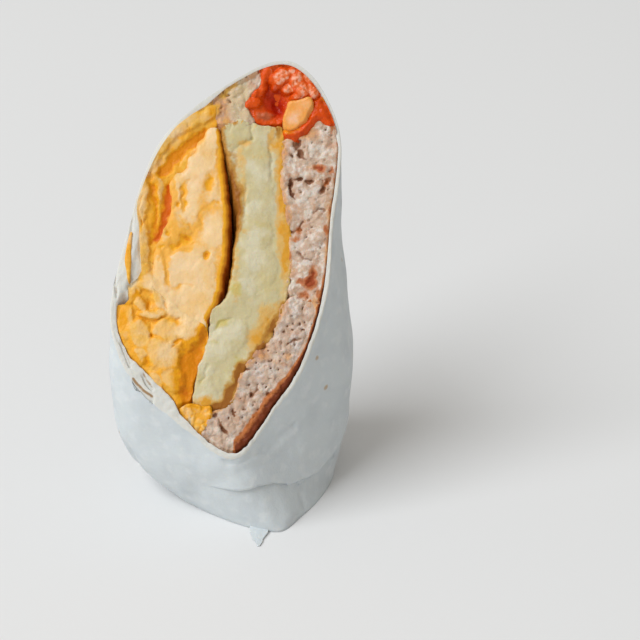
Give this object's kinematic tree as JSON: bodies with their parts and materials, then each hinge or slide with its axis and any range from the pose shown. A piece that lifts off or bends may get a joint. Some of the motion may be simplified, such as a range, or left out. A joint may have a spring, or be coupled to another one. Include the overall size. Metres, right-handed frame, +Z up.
{
  "type": "half of a chicken wrap",
  "caption": "Slant-cut half of a chicken wrap standing on its folded end, with omelette, potato, breaded chicken and tomato salsa side by side on the cut face.",
  "frame": {"origin": "Middle of the bounding box's bottom face, on the surface that the wrap stands on.", "axes": "+Z is up along the wrap, +X is to the right and -Y is the front, the way the cut face looks."},
  "size_m": [0.0724, 0.0686, 0.1259],
  "materials": {
    "tortilla": "soft flour tortilla, matt and floury, faintly mottled",
    "egg": "moist folded omelette, satin",
    "potato": "soft cooked potato with a browned crust, satin",
    "chicken": "porous cut chicken meat with a fried crust, satin",
    "salsa": "wet chunky tomato, glossy",
    "pepper": "moist diced pepper, glossy"
  },
  "bodies": {
    "root": {"tortilla": "tortilla", "egg_slab": "egg", "egg_curl": "egg", "egg_lumps": "egg", "egg_crumbs": "egg", "egg_edge": "egg", "potato": "potato", "chicken_upper": "chicken", "chicken_lower": "chicken", "chicken_corner": "chicken", "salsa": "salsa", "pepper_dice": "pepper", "pepper_strip": "pepper"}
  },
  "joints": []
}
